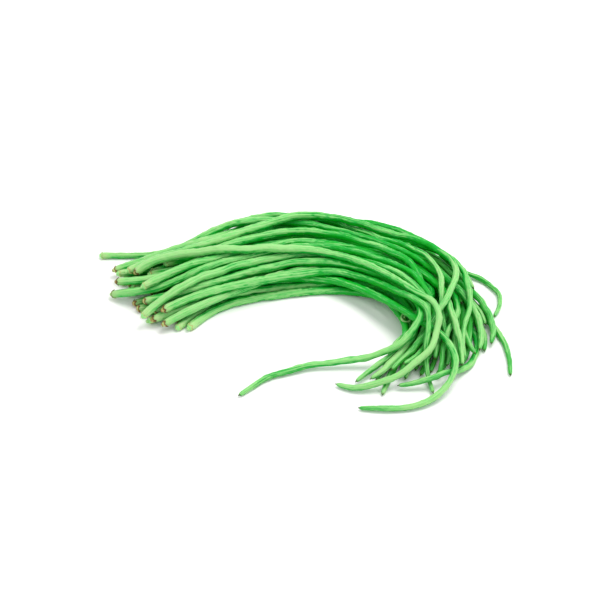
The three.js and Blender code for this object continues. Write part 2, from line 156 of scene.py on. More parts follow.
RIBS = (3, 5, 7)  # counts of ribs round a pod, one on top of the other
RIB_SHARE = 1 / 1.6  # height of each of them as a share of the ribs' height
RIB_WANDER = (120, 0.5)  # wandering of the ribs round the pod, in radians
WRINKLES = 7  # kinds of wrinkles on a pod, one on top of the other
WRINKLE_SHARE = 1 / 2.2  # height of each of them as a share of the wrinkles' height
WRINKLE_LENGTH = (5, 16)
WRINKLE_COUNT = (2, 7)  # wrinkles round a pod: least, and one more than the most
WAVES = ((34, 0.37), (41, 0.25))  # small waves of the whole pod, sideways and upwards
WAVES_START = (30, 40)  # distance from the stalk without waves, and the length they grow over
WAVES_END = 30  # length over which they fade towards the tip
WAVE_SPREAD = (0.6, 1.6)  # length of one wave as a share of the usual, least and most
WAVE_SEED, POD_SEED = 2600, 4100  # first seeds of the random draws
ANY_ANGLE = (0, 6.28)  # for random angles, least and most

# Calyx.
CALYX_SIDES, CALYX_RINGS = 30, 7
CALYX_BACK = 1.3  # length that lies before the pod's shoulder
BAND_LENGTH = 0.5  # length past the shoulder between two lobes
LOBES = 5
LOBE_LENGTH, DRY_LOBE_LENGTH = 1.9, 0.5  # length of a lobe past the band, and more when dry
LOBE_POINT = 1.5  # above 1, the lobes are pointed
RAGGEDNESS = 0.25  # how unequal the lobes are
LOBE_FLARE, DRY_LOBE_FLARE = 0.35, 0.5  # how far a lobe stands off the pod, and more when dry
CALYX_RADIUS = 1.5  # radius on the stalk
CALYX_CLASP = 1.1  # how much less than the scar's radius it gains at the shoulder
CALYX_ROUNDING = 1.6  # length over which it gains that
CALYX_WIDENING = 0.72  # gain of radius at 1 mm past the shoulder
CALYX_FACES = (0.3, 0.05)  # height of its outside and its inside over the pod

# Stub of the stalk.
STUB_SIDES, STUB_RINGS = 20, 9
STUB_LEFT = (0.5, 1.0)  # share of the stub that is left on, least and most
STUB_LENGTH = (0.9, 3.0)  # length of the part that is always there, and of the rest
STUB_IN_POD = 0.8  # length that is sunk into the pod
STUB_NEAREST = 0.1  # least distance from the end of the pod's line
STUB_RADIUS = 1.45
STUB_WIDENING, BREAK_WIDENING = 0.35, 0.22  # gain of radius at the pod and at the break
BREAK_ROUNDING = 0.86  # share of the radius at the very end

# Tone and dryness of a pod.
OTHER_TONES = (0.36, 0.62)  # tone of the pods that aren't listed, least and most
OTHER_DRYNESS = (0.0, 0.1, 0.25, 0.7, 0.9)  # one of these for the pods that aren't listed
SLOW_TONE = (90, 0.09)  # slow changes of tone along a pod
TONE_SHIFT = 15  # furthest that a pod's change of tone lies from the usual places
SEED_TONE, RIB_TONE = 0.06, 0.08  # how much paler a seed and a rib are
CURL_TONE = 0.35  # how much paler a curl is
CURL_FADE = 4.0  # length over which it pales

# Ground, light and touch.
GROUND = 0.1  # height of the lowest corner
SETTLE = 0.2  # depth by which pods sink, as they are slimmer than the plain ones
SUNWARD = (0.42, 0.16, 0.9)  # direction of most of the light
SHADE_REACH = 26.0  # furthest pod that shades another
SHADE_STRENGTH = 1.3
SHADE_ALL_ROUND = 0.4  # share of the shading that is the same wherever the other pod lies
LIGHT_STRIDE = 3  # light changes slowly, so it is worked out at every third ring
BEAD_SPACING = 6.0  # distance between the points that stand for a pod that shades others
BEAD_SIZE = 44.0  # size of the patch that such a point hides, in square millimetres
PLAIN_LIGHT = 0.6  # light on the calyx and the stub of the stalk
TOUCH_SPACING = 1.2  # distance between the points that stand for a pod that presses on others
TOUCH_REACH = 9.0  # furthest such point that a pod can touch
TOUCH_GAP = 0.02  # half of the gap left between pods that touch
LEAST_SHARE = 0.35  # share of its girth that a pressed pod keeps
LEAST_FACING = 0.05  # a corner that faces a point less than this isn't held back by it


def linear(hex_colour):
    """An sRGB hex colour as linear red, green, blue and 1."""
    value = hex_colour.lstrip("#")
    channels = [int(value[i : i + 2], 16) / 255 for i in (0, 2, 4)]
    low = 0.04045
    return tuple(
        c / 12.92 if c <= low else ((c + 0.055) / 1.055) ** 2.4 for c in channels
    ) + (1.0,)


# ---- Stage ----

KEY_SIZE = 0.8  # width of the light, in metres
KEY_PLACE = (0.42, 0.22, 1.32)
KEY_COLOUR = (1.0, 0.985, 0.95)  # a little warm
CAMERA_TARGET = (0.00297, 0.02216, 0.0)
CAMERA_TILT = math.radians(40)  # angle at which the camera looks down
CAMERA_DISTANCE = 1.3
SENSOR_WIDTH = 36.0

# ---- Settings ----


def colour_property(name, description, hex_colour):
    """A setting for a colour, from an sRGB hex colour."""
    return bpy.props.FloatVectorProperty(
        name=name, description=description, default=linear(hex_colour), size=4, subtype="COLOR"
    )


def length_property(name, description, millimetres, **limits):
    """A setting for a length, held in metres."""
    return bpy.props.FloatProperty(
        name=name,
        description=description,
        default=millimetres * MM,
        unit="LENGTH",
        precision=5,
        **limits,
    )


class BeanPodSettings(bpy.types.PropertyGroup):
    """Shape of a pod."""

    ring_spacing: length_property(
        "Ring spacing", "Distance between two drawn sections of a pod", 1.5, min=0.5 * MM
    )
    fullness: length_property(
        "Fullness", "Growth of the radius over the plain pod's, in the half by the stalk", 0.08
    )
    tail_fullness: length_property(
        "Tail fullness", "Growth of the radius over the plain pod's, in the half by the tip", -0.32
    )
    seed_spacing: length_property(
        "Seed spacing", "Average distance between two seeds", 15.0, min=5.0 * MM
    )
    seed_swell: bpy.props.FloatProperty(
        name="Seed swelling",
        description="Swelling over a seed as a share of the radius",
        default=0.085,
        subtype="FACTOR",
    )
    seam_depth: length_property("Seam depth", "Depth of the two seams along a pod", 0.34)
    rib_height: length_property("Rib height", "Height of the soft ribs along a pod", 0.13)
    wrinkle_height: length_property("Wrinkle height", "Height of the skin's wrinkles", 0.17)


class BeanColourSettings(bpy.types.PropertyGroup):
    """Colours of a pod."""

    # The skin's colour runs from shaded through deep and middle to pale. Painted shade between
    # pods draws it towards shaded green, and painted light towards pale green; the pods' own
    # tones, ribs and seeds set it as well.
    shaded: colour_property("Shaded green", "Skin that lies in the shade of other pods", "00a81a")
    deep: colour_property("Deep green", "Skin of the darkest pods", "0aa038")
    middle: colour_property("Middle green", "Skin of most pods", "6fc669")
    pale: colour_property("Pale green", "Skin of the palest pods, and of ribs", "95ce81")
    straw: colour_property("Straw", "Dry skin by the stalk, and rubbed specks", "c6d79a")
    tail: colour_property("Tail", "Duller green towards a pod's tip", "9cc285")
    brown: colour_property("Brown", "Edges of a withered calyx", "54401c")
    beak: colour_property("Beak", "Withered point at the tip of a pod", "3f4a1d")


class BeanStageSettings(bpy.types.PropertyGroup):
    """Floor, light and camera."""

    floor_colour: colour_property("Floor", "Colour of the floor", "f7f7f7")
    key_power: bpy.props.FloatProperty(
        name="Key light",
        description="Power of the large light overhead, a little to the right and behind",
        default=11.5,
        unit="POWER",
    )
    sky_strength: bpy.props.FloatProperty(
        name="Room light",
        description="Strength of the even light from all around",
        default=1.0,
    )
    lens: bpy.props.FloatProperty(
        name="Lens",
        description="Focal length of the camera",
        default=82.1,
        unit="CAMERA",
    )


def setting_names(settings):
    """Names of the settings in a group."""
    return [key for key in settings.bl_rna.properties.keys() if key not in {"rna_type", "name"}]


def in_millimetres(settings):
    """A group's settings as plain numbers, with its lengths in millimetres."""
    values = {}
    for key in setting_names(settings):
        is_length = settings.bl_rna.properties[key].unit == "LENGTH"
        values[key] = round(getattr(settings, key) / (MM if is_length else 1), 6)
    return SimpleNamespace(**values)


# ---- Reading the plain pods of the frame ----


def sections_of(node):
    """Middles and radii of a plain pod's sections, from stalk to tip, in millimetres."""
    mesh = node.data
    corners = np.empty(len(mesh.vertices) * 3)
    mesh.vertices.foreach_get("co", corners)
    places, same = np.unique(
        np.round(corners.reshape(-1, 3), SAME_PLACE), axis=0, return_inverse=True
    )
    same = same.ravel()
    near = [set() for _ in places]
    for edge in mesh.edges:
        a, b = same[edge.vertices[0]], same[edge.vertices[1]]
        if a != b:
            near[a].add(b)
            near[b].add(a)
    valence = [len(n) for n in near]
    ends = [
        i
        for i, n in enumerate(near)
        if valence[i] == SECTION_SIDES
        and all(valence[j] == SECTION_SIDES - 1 for j in n)
    ]
    if len(ends) != 2:
        raise RuntimeError(f"{node.name} has {len(ends)} end points, not 2")
    start = min(ends, key=lambda i: places[i][0])
    layers, seen = [[start]], {start}
    while True:
        layer = sorted({j for i in layers[-1] for j in near[i]} - seen)
        if not layer:
            break
        seen.update(layer)
        layers.append(layer)
    middles, radii = [], []
    for layer in layers:
        ring = places[layer] / MM
        if len(layer) == 1:
            middles.append(ring[0])
            radii.append(0.0)
            continue
        # The two corners that lie level with the middle are the furthest apart seen from above.
        apart = np.linalg.norm(ring[:, None, :2] - ring[None, :, :2], axis=2)
        a, b = np.unravel_index(apart.argmax(), apart.shape)
        middles.append((ring[a] + ring[b]) / 2)
        radii.append(apart[a, b] / 2)
    return np.array(middles), np.array(radii)


def smooth_line(points, per_step=24):
    """A smooth line along points, halfway between the curve through them and the one near them."""
    first = 2 * points[0] - points[1]
    last = 2 * points[-1] - points[-2]
    held = np.vstack([first, points, last])
    u = np.linspace(0, 1, per_step, endpoint=False)[:, None]
    through = (
        (-u + 2 * u**2 - u**3) / 2,
        (2 - 5 * u**2 + 3 * u**3) / 2,
        (u + 4 * u**2 - 3 * u**3) / 2,
        (-(u**2) + u**3) / 2,
    )
    nearby = (
        (1 - u) ** 3 / 6,
        (4 - 6 * u**2 + 3 * u**3) / 6,
        (1 + 3 * u + 3 * u**2 - 3 * u**3) / 6,
        u**3 / 6,
    )
    pieces = []
    for i in range(len(points) - 1):
        weights = [(a + b) / 2 for a, b in zip(through, nearby, strict=True)]
        pieces.append(sum(w * held[i + k] for k, w in enumerate(weights)))
    return np.vstack([*pieces, points[-1:]])


def line_lengths(line):
    """Distance from the line's start to each of its points."""
    steps = np.linalg.norm(np.diff(line, axis=0), axis=1)
    return np.concatenate([[0.0], np.cumsum(steps)])


def carried_frames(line):
    """Headings and two crosswise directions along a line, which turn as little as they can."""
    heading = np.gradient(line, axis=0)
    heading /= np.linalg.norm(heading, axis=1)[:, None]
    side = np.empty_like(line)
    first = np.cross(heading[0], (0.0, 0.0, 1.0))
    side[0] = first / np.linalg.norm(first)
    for i in range(1, len(line)):
        carried = side[i - 1] - heading[i] * np.dot(side[i - 1], heading[i])
        side[i] = carried / np.linalg.norm(carried)
    return heading, side, np.cross(heading, side)


def curled(line, cut, size, turns, lean):
    """The line with its last part drawn up into a thin curl that leans, and the curl's length."""
    samples = 90  # points on the curl
    tightness, quickness = 0.68, 0.6  # how far the curl's radius shrinks, and how soon
    rise = 0.9  # millimetres that the curl rises out of its plane
    reach = line_lengths(line)
    line = line[reach < reach[-1] - cut]
    heading = line[-1] - line[-2]
    heading /= np.linalg.norm(heading)
    normal = np.array([0.0, -math.sin(lean), math.cos(lean)])
    side = np.cross(normal, heading)
    side /= np.linalg.norm(side)
    share = np.linspace(0, 1, samples)[1:, None]
    angle = share * turns * 2 * math.pi
    radius = size * (1 - tightness * share**quickness)
    centre = line[-1] + size * side
    outwards = np.sin(angle) * heading - np.cos(angle) * side
    curl = centre + radius * outwards + rise * share * normal
    return np.vstack([line, curl]), line_lengths(curl)[-1]


class PodLine:
    """The line that a pod follows, with its radii and two directions across it at each point."""

    def __init__(self, node, index):
        self.name = node.name
        sections, self.plain_radii = sections_of(node)
        self.line = smooth_line(np.vstack([sections[:1], sections[3:-3], sections[-1:]]))
        self.reach = line_lengths(self.line)
        self.length = self.reach[-1]
        section_reach = line_lengths(sections)
        self.section_reach = section_reach * self.length / section_reach[-1]
        self.curl = 0.0
        if self.name in CURLED_TIPS:
            self.line, self.curl = curled(self.line, *CURLED_TIPS[self.name])
            self.reach = line_lengths(self.line)
            self.length = self.reach[-1]
        to_the_right = self.line[:, 0] > 0
        self.middle = self.reach[to_the_right.argmax()] if to_the_right.any() else self.length
        _, self.side, self.up = carried_frames(self.line)
        # Small waves, away from both ends.
        rng = np.random.default_rng(WAVE_SEED + index)
        still, growing = WAVES_START
        free = np.clip((self.reach - still) / growing, 0, 1)
        free = free * np.clip((self.length - self.curl - self.reach) / WAVES_END, 0, 1)
        sideways, upwards = (waves(rng, self.reach, kind, 3)[:, None] for kind in WAVES)
        self.line = self.line + free[:, None] * (sideways * self.side + upwards * self.up)

    def fullness(self, places, shape):
        """Growth of the radius over the plain pod's at distances along the line."""
        growth = np.interp(places, TAIL_PLACES, (shape.fullness, shape.tail_fullness))
        if self.name in KNOWN_FULLNESS:
            growth = growth + np.interp(places, *KNOWN_FULLNESS[self.name])
        return growth

    def girth(self, places, shape):
        """Average radius at distances along the line."""
        plain = np.interp(places, self.section_reach, self.plain_radii)
        girth = plain + self.fullness(places, shape)
        return np.where(places > self.length - self.curl, CURL_RADIUS, girth)

    def touch_points(self, shape):
        """Points close together along the line, each with its radius in the last column."""
        places = np.arange(TOUCH_SPACING / 2, self.length, TOUCH_SPACING)
        return np.column_stack([self.at(places, self.line), self.girth(places, shape)])

    def at(self, places, values):
        """Values of the line at distances along it."""
        return np.stack([np.interp(places, self.reach, values[:, k]) for k in range(3)], axis=1)

    def beads(self, spacing):
        """Points along the line, a spacing apart."""
        return self.at(np.arange(spacing / 2, self.length, spacing), self.line)


def light_share(middles, across, radii, beads):
    """Share of the light from above that reaches each corner of each ring past the other pods."""
    sun = np.array(SUNWARD)
    sun /= np.linalg.norm(sun)
    share = np.empty(radii.shape)
    for i, middle in enumerate(middles):
        near = beads[np.abs(beads - middle).max(axis=1) < SHADE_REACH]
        corners = middle + across[i] * radii[i][:, None]
        share[i] = (1 + across[i] @ sun) / 2
        if len(near):
            towards = near[None] - corners[:, None]
            distance = np.linalg.norm(towards, axis=2)
            towards /= distance[:, :, None]
            facing = np.clip((towards * across[i][:, None]).sum(axis=2), 0, 1)
            above = np.clip(SHADE_ALL_ROUND + (1 - SHADE_ALL_ROUND) * towards @ sun, 0, 1)
            hidden = facing * above * np.minimum(1, BEAD_SIZE / (math.pi * distance**2))
            share[i] *= np.exp(-SHADE_STRENGTH * hidden.sum(axis=1))
    return share


def pressed(middles, across, radii, girths, others):
    """Radii of rings that are flattened where another pod lies against them.

    A pod keeps to the points that are nearer to its own line than to another's, so two pods that
    touch meet in one shared face.
    """
    radii = radii.copy()
    others = others[others[:, 0].argsort()]
    for i, middle in enumerate(middles):
        first, last = others[:, 0].searchsorted((middle[0] - TOUCH_REACH, middle[0] + TOUCH_REACH))
        near = others[first:last]
        near = near[np.abs(near[:, :3] - middle).max(axis=1) < TOUCH_REACH]
        if len(near):
            towards = near[:, :3] - middle
            distance = np.linalg.norm(towards, axis=1)
            room = (distance + girths[i] - near[:, 3]) / 2 - TOUCH_GAP
            facing = across[i] @ (towards / distance[:, None]).T
            limit = (room / np.maximum(facing, LEAST_FACING)).min(axis=1)
            radii[i] = np.minimum(radii[i], np.maximum(limit, LEAST_SHARE * girths[i]))
    return radii


# ---- Making a pod ----


def waves(rng, places, length_and_height, count):
    """Soft random waves along places, of about that length and height: count of them, added."""
    length, height = length_and_height
    total = np.zeros_like(places)
    for _ in range(count):
        stretch = length * rng.uniform(*WAVE_SPREAD)
        total += np.sin(places * (2 * math.pi / stretch) + rng.uniform(0, 2 * math.pi))
    return height * total / math.sqrt(count)


def seed_bumps(rng, places, length, spacing):
    """Swelling over each seed, from 0 between seeds to about 1 over a plump one."""
    swelling = np.zeros_like(places)
    at = rng.uniform(*FIRST_SEED)
    while at < length - LAST_SEED:
        plumpness = rng.uniform(*SEED_PLUMPNESS)
        width = spacing * rng.uniform(*SEED_WIDTH)
        swelling = np.maximum(swelling, plumpness * np.exp(-(((places - at) / width) ** 2)))
        at += spacing * rng.uniform(*SEED_STEP)
    return swelling


def section_angles():
    """Angles of a section's corners: closer together at the two seams."""
    seam = np.array([-0.22, -0.11, 0.0, 0.11, 0.22])
    edge = 0.45  # where the corners of a side start
    side = np.linspace(edge, math.pi - edge, 9)
    return np.concatenate([seam, side, math.pi + seam, math.pi + side])


def tube_faces(rings, sides, first):
    """Faces of a tube of rings that starts at corner number first, and of its two end fans."""
    start = first + np.arange(rings)[:, None] * sides
    k = np.arange(sides)
    ahead = (k + 1) % sides
    here, there = start[:-1], start[1:]
    quads = np.stack([here + k, here + ahead, there + ahead, there + k], axis=2)
    near_pole = first + rings * sides
    far_pole = near_pole + 1
    pairs = list(zip(k, ahead, strict=True))
    near_fan = [(near_pole, start[0, 0] + b, start[0, 0] + a) for a, b in pairs]
    far_fan = [(far_pole, start[-1, 0] + a, start[-1, 0] + b) for a, b in pairs]
    return [tuple(q) for q in quads.reshape(-1, 4)] + near_fan + far_fan


def directions(spin, side, up):
    """Directions from each ring's middle to its corners, at the angles in spin's rows."""
    return np.cos(spin)[:, :, None] * side[:, None] + np.sin(spin)[:, :, None] * up[:, None]


class PodMesh:
    """Gathers the corners, faces and skin values of one pod."""

    def __init__(self, dryness):
        self.dryness = dryness
        self.corners = []
        self.straight = []
        self.tone = []
        self.lit = []
        self.faces = []
        self.places = []

    def add_tube(self, middles, across, radii, along, angles, tone, place, lit=None):
        """Adds a closed tube. across, radii, tone and lit have a row for each ring."""
        rings, sides = radii.shape
        corners = middles[:, None] + across * radii[:, :, None]
        straight = np.stack(
            [
                radii * np.cos(angles)[None, :],
                radii * np.sin(angles)[None, :],
                np.broadcast_to(along[:, None], radii.shape),
            ],
            axis=2,
        )
        first = sum(len(c) for c in self.corners)
        faces = tube_faces(rings, sides, first)
        self.faces += faces
        self.places += [place] * len(faces)
        ends = corners[[0, -1]].mean(axis=1)
        straight_ends = straight[[0, -1]].mean(axis=1)
        self.corners.append(np.vstack([corners.reshape(-1, 3), ends]))
        self.straight.append(np.vstack([straight.reshape(-1, 3), straight_ends]))
        self.tone.append(np.concatenate([tone.ravel(), tone[[0, -1]].mean(axis=1)]))
        lit = np.full(radii.shape, PLAIN_LIGHT) if lit is None else lit
        self.lit.append(np.concatenate([lit.ravel(), lit[[0, -1]].mean(axis=1)]))

    def build(self, name, length):
        """The finished mesh, with the values that the skin's colour follows, painted light and
        shade among them.
        """
        corners = np.vstack(self.corners)
        straight = np.vstack(self.straight)
        corners[:, 2] = np.maximum(corners[:, 2] - SETTLE, GROUND)
        mesh = bpy.data.meshes.new(name)
        mesh.from_pydata((corners * MM).tolist(), [], self.faces)
        mesh.polygons.foreach_set("material_index", self.places)
        mesh.polygons.foreach_set("use_smooth", [True] * len(self.faces))
        along = straight[:, 2]
        values = {
            "from_stalk": along,
            "to_tip": length - along,
            "tone": np.concatenate(self.tone),
            "lit": np.concatenate(self.lit),
            "dryness": np.full(len(along), self.dryness),
        }
        for key, numbers in values.items():
            held = mesh.attributes.new(key, "FLOAT", "POINT")
            held.data.foreach_set("value", numbers.astype(np.float32))
        spread = mesh.attributes.new("straight", "FLOAT_VECTOR", "POINT")
        spread.data.foreach_set("vector", straight.astype(np.float32).ravel())
        mesh.validate()
        return mesh


def stations_of(length, start, spacing, curl):
    """Distances along a pod at which its section is drawn: closer together at both ends."""
    near_stalk = np.arange(start, start + STALK_STEPS[0], STALK_STEPS[1])
    near_tip = np.arange(length - TIP_STEPS[0] - curl, length, TIP_STEPS[1])
    count = int((near_tip[0] - near_stalk[-1]) / spacing)
    middle = np.linspace(near_stalk[-1], near_tip[0], count + 2)[1:-1]
    return np.concatenate([near_stalk, middle, near_tip, [length]])


def make_pod(own, beads, others, index, shape):
    """One pod's mesh: body, calyx and stub of stalk.

    beads and others are points of the other pods that shade this one and press on it.
    """
    rng = np.random.default_rng(POD_SEED + index)
    length = own.length
    shoulder = rng.uniform(*SHOULDER)
    places = stations_of(length, shoulder, shape.ring_spacing, own.curl)
    left = length - places
    angles = section_angles()

    scar = rng.uniform(*SCAR_RADIUS)
    base = plain_radius(own, places, shoulder, scar)
    body = np.clip((places - shoulder) / DETAIL_FADE, 0, 1)
    body = body * np.clip((left - PLAIN_TIP) / DETAIL_FADE, 0, 1)
    swelling = seed_bumps(rng, places, length, shape.seed_spacing)
    uneven = waves(rng, places, UNEVEN, 3)
    swollen = 1 + body * (shape.seed_swell * (swelling - MEAN_SWELLING) + uneven)
    radius = base * swollen + own.fullness(places, shape) * body

    swell = swelling[:, None]
    flatness = FLATNESS - SEED_ROUNDNESS * swell
    oval = 1 + body[:, None] * flatness * np.cos(2 * angles[None, :])
    relief = surface_relief(rng, places, angles, shape)
    radii = radius[:, None] * oval + relief * body[:, None]

    # The seams wind slowly round the pod.
    turn = rng.uniform(0, 2 * math.pi) + waves(rng, places, WINDING, 2)

    # Tone: the pod's own, paler ribs and seeds, deeper seams, slow changes along the pod,
    # deepest at the bend of the bunch.
    general = KNOWN_TONES.get(own.name, rng.uniform(*OTHER_TONES))
    slow = waves(rng, places, SLOW_TONE, 3)
    past_middle = places - own.middle + rng.uniform(-TONE_SHIFT, TONE_SHIFT)
    along = np.interp(past_middle, TONE_PLACES, TONE_CHANGES)
    ribs = relief / (len(RIBS) * shape.rib_height)
    tone = general + (slow + along)[:, None] + SEED_TONE * (swell - 0.5) + RIB_TONE * ribs

    pod = PodMesh(KNOWN_DRYNESS.get(own.name, rng.choice(OTHER_DRYNESS)))
    middles = own.at(places, own.line)
    spin = angles[None, :] + turn[:, None]
    across = directions(spin, own.at(places, own.side), own.at(places, own.up))
    radii = pressed(middles, across, radii, own.girth(places, shape), others)
    # Painted light and shade: the share of the light that reaches each corner past the other pods,
    # which the skin's colour follows.
    some = np.unique(np.append(np.arange(0, len(places), LIGHT_STRIDE), len(places) - 1))
    lit_some = light_share(middles[some], across[some], radii[some], beads)
    lit = np.stack([np.interp(places, places[some], column) for column in lit_some.T], axis=1)
    # The curl is paler, and it is painted as lit, without the painted shade of the pods around it.
    if own.curl:
        on_curl = np.clip((own.curl + CURL_FADE - left) / CURL_FADE, 0, 1)[:, None]
        tone = tone + CURL_TONE * on_curl
        lit = np.maximum(lit, on_curl)
    pod.add_tube(middles, across, radii, places, angles, tone, SKIN, lit)
    add_calyx(pod, rng, own, shoulder, scar)
    add_stub(pod, rng, own, shoulder)
    return pod.build(own.name, length)


def plain_radius(own, places, shoulder, scar):
    """Radius along a pod: a blunt shoulder, the girth of the plain pod, a taper and the beak."""
    left = own.length - places
    full = own.plain_radii.max()
    base = np.interp(places, own.section_reach[2:-1], own.plain_radii[2:-1])
    base[places < FULL_FROM_STALK] = full
    rings = 9  # that the girth is averaged over
    padded = np.pad(base, rings // 2, mode="edge")
    base = np.convolve(padded, np.ones(rings) / rings, mode="valid")
    rise = np.clip((places - shoulder + SHOULDER_EARLY) / SHOULDER_RISE, 0, 1)
    base = np.minimum(base, scar + (full - scar) * np.sqrt(1 - (1 - rise) ** 2))
    before_taper = np.interp(own.length - TAPER, places, base)
    taper = TAPER_SHARE + (1 - TAPER_SHARE) * np.clip(left / TAPER, 0, 1) ** TAPER_POWER
    base = np.where(left < TAPER, np.maximum(base, before_taper * taper), base)
    if own.curl:
        thinning = (0, own.curl, own.curl + CURL_TAPER)
        thin = np.interp(left, thinning, (CURL_TIP, 1, full / CURL_RADIUS))
        base = np.minimum(base, CURL_RADIUS * thin)
    point, end = BEAK
    rounding = 1 - np.clip((left - point) / (end - point), 0, 1)
    beak = BEAK_RADIUS + (base - BEAK_RADIUS) * np.sqrt(1 - rounding**2)
    return np.where(left < end, beak, base)


def surface_relief(rng, places, angles, shape):
    """Height of the skin over a smooth pod: a groove at each seam, soft ribs and wrinkles."""
    theta = angles[None, :]
    relief = np.zeros((len(places), len(angles)))
    lip_at, lip_width, lip_share = SEAM_LIPS
    for seam_at, share, width in SEAMS:
        away = np.angle(np.exp(1j * (theta - seam_at)))
        groove = np.exp(-((away / width) ** 2))
        lips = np.exp(-(((np.abs(away) - lip_at) / lip_width) ** 2))
        relief -= shape.seam_depth * share * groove
        relief += shape.seam_depth * lip_share * share * lips
    for count in RIBS:
        wander = waves(rng, places, RIB_WANDER, 2)[:, None]
        ribs = np.cos(count * theta + rng.uniform(*ANY_ANGLE) + wander)
        relief += shape.rib_height * RIB_SHARE * ribs
    for _ in range(WRINKLES):
        count = rng.integers(*WRINKLE_COUNT)
        stretch = rng.uniform(*WRINKLE_LENGTH)
        around = np.sin(count * theta + rng.uniform(*ANY_ANGLE))
        lengthwise = np.sin(places * (2 * math.pi / stretch) + rng.uniform(*ANY_ANGLE))
        relief += shape.wrinkle_height * WRINKLE_SHARE * around * lengthwise[:, None]
    return relief


def add_calyx(pod, rng, own, shoulder, scar):
    """The withered calyx that clasps a pod's shoulder: a thin skirt with five ragged lobes."""
    angles = np.linspace(0, 2 * math.pi, CALYX_SIDES, endpoint=False)
    turn = rng.uniform(0, 2 * math.pi)
    lobes = 0.5 + 0.5 * np.cos(LOBES * angles + rng.uniform(*ANY_ANGLE))
    ragged = 1 - RAGGEDNESS + RAGGEDNESS * np.cos(2 * angles + rng.uniform(*ANY_ANGLE))
    lobe_length = LOBE_LENGTH + DRY_LOBE_LENGTH * pod.dryness
    reach = BAND_LENGTH + lobe_length * (lobes**LOBE_POINT) * ragged
    # Down the outside from the stalk to the lobes' tips, then back on the inside.
    outside = np.linspace(0, 1, CALYX_RINGS)
    profile = np.concatenate([outside, outside[::-1]])[:, None]
    thick = np.repeat(CALYX_FACES, CALYX_RINGS)[:, None]
    start = shoulder - CALYX_BACK
    forward = start + profile * (CALYX_BACK + reach[None, :])
    rounding = np.clip((forward - start) / CALYX_ROUNDING, 0, 1) * math.pi / 2
    clasp = CALYX_RADIUS + (scar - CALYX_CLASP) * np.sin(rounding)
    widening = np.sqrt(np.clip(forward - shoulder, 0, None)) * CALYX_WIDENING
    flare = (LOBE_FLARE + DRY_LOBE_FLARE * pod.dryness) * profile**3 * lobes[None, :]
    radii = clasp + widening + thick + flare
    base = np.array([start])
    middle, side, up = (own.at(base, line)[0] for line in (own.line, own.side, own.up))
    ahead = np.cross(side, up)
    spin = angles + turn
    across = np.cos(spin)[:, None] * side + np.sin(spin)[:, None] * up
    corners = middle + across[None] * radii[:, :, None] + ahead * (forward - start)[:, :, None]
    straight = np.stack([radii * np.cos(angles), radii * np.sin(angles), forward], axis=2)
    # The skirt has no ends: its last ring is joined to its first.
    first = sum(len(c) for c in pod.corners)
    rings, count = radii.shape
    faces = [f for f in tube_faces(rings, count, first) if len(f) == 4]
    end = first + (rings - 1) * count
    for k in range(count):
        n = (k + 1) % count
        faces.append((end + k, end + n, first + n, first + k))
    pod.faces += faces
    pod.places += [CALYX] * len(faces)
    pod.corners.append(corners.reshape(-1, 3))
    pod.straight.append(straight.reshape(-1, 3))
    pod.tone.append(np.broadcast_to(profile, radii.shape).ravel())
    pod.lit.append(np.full(radii.size, PLAIN_LIGHT))


def add_stub(pod, rng, own, shoulder):
    """The stub of the stalk: short, ridged, wider towards the pod and broken off unevenly."""
    left_on = rng.uniform(*STUB_LEFT)
    base = shoulder + STUB_IN_POD
    tip = max(STUB_NEAREST, base - STUB_LENGTH[0] - STUB_LENGTH[1] * left_on)
    places = np.linspace(tip, base, STUB_RINGS)
    angles = np.linspace(0, 2 * math.pi, STUB_SIDES, endpoint=False)
    ridged = 1 + 0.07 * np.cos(5 * angles + rng.uniform(*ANY_ANGLE)) + 0.04 * np.cos(3 * angles)
    share = np.linspace(0, 1, STUB_RINGS)[:, None]
    widening = STUB_WIDENING * share**2 + BREAK_WIDENING * (1 - share) ** 6
    radii = (STUB_RADIUS + widening) * ridged[None, :]
    radii[0] *= BREAK_ROUNDING
    tone = np.broadcast_to(share, radii.shape)
    spin = angles[None, :] + np.full((STUB_RINGS, 1), rng.uniform(*ANY_ANGLE))
    across = directions(spin, own.at(places, own.side), own.at(places, own.up))
    pod.add_tube(own.at(places, own.line), across, radii, places, angles, tone, STALK)


# ---- Materials ----

ADD = {"operation": "ADD"}
MULTIPLY_ADD = {"operation": "MULTIPLY_ADD"}
COLOUR_MIX = {"data_type": "RGBA"}
SMOOTH_STEP = {"interpolation_type": "SMOOTHSTEP"}


def add_node(tree, kind, settings=None, **links):
    """Adds a node and sets its fields and inputs.

    An input is given by its name, with _ for a space, or by i and its number. It is linked where
    its value is a socket, or a node, which stands for its first output.
    """
    node = tree.nodes.new("ShaderNode" + kind)
    for key, value in (settings or {}).items():
        setattr(node, key, value)
    for key, value in links.items():
        number = key.removeprefix("i")
        socket = node.inputs[int(number) if number.isdigit() else key.replace("_", " ")]
        if isinstance(value, bpy.types.Node):
            value = value.outputs[0]
        if isinstance(value, bpy.types.NodeSocket):
            tree.links.new(value, socket)
        else:
            socket.default_value = value
    return node


def set_ramp(node, stops):
    """Sets a colour ramp's stops: (place, colour or grey)."""
    ramp = node.color_ramp
    while len(ramp.elements) > 1:
        ramp.elements.remove(ramp.elements[-1])
    for i, (place, colour) in enumerate(stops):
        element = ramp.elements[0] if i == 0 else ramp.elements.new(place)
        element.position = place
        element.color = colour if hasattr(colour, "__len__") else (colour, colour, colour, 1.0)
    return node


def new_material(name, *values):
    """A material without nodes, what adds nodes to it, and sockets for the mesh's own values."""
    material = bpy.data.materials.new(name)
    material.use_nodes = True
    material.node_tree.nodes.clear()
    add = partial(add_node, material.node_tree)
    sockets = []
    for key in values:
        outputs = add("Attribute", {"attribute_name": key}).outputs
        sockets.append(outputs["Vector" if key == "straight" else "Fac"])
    return material, add, *sockets


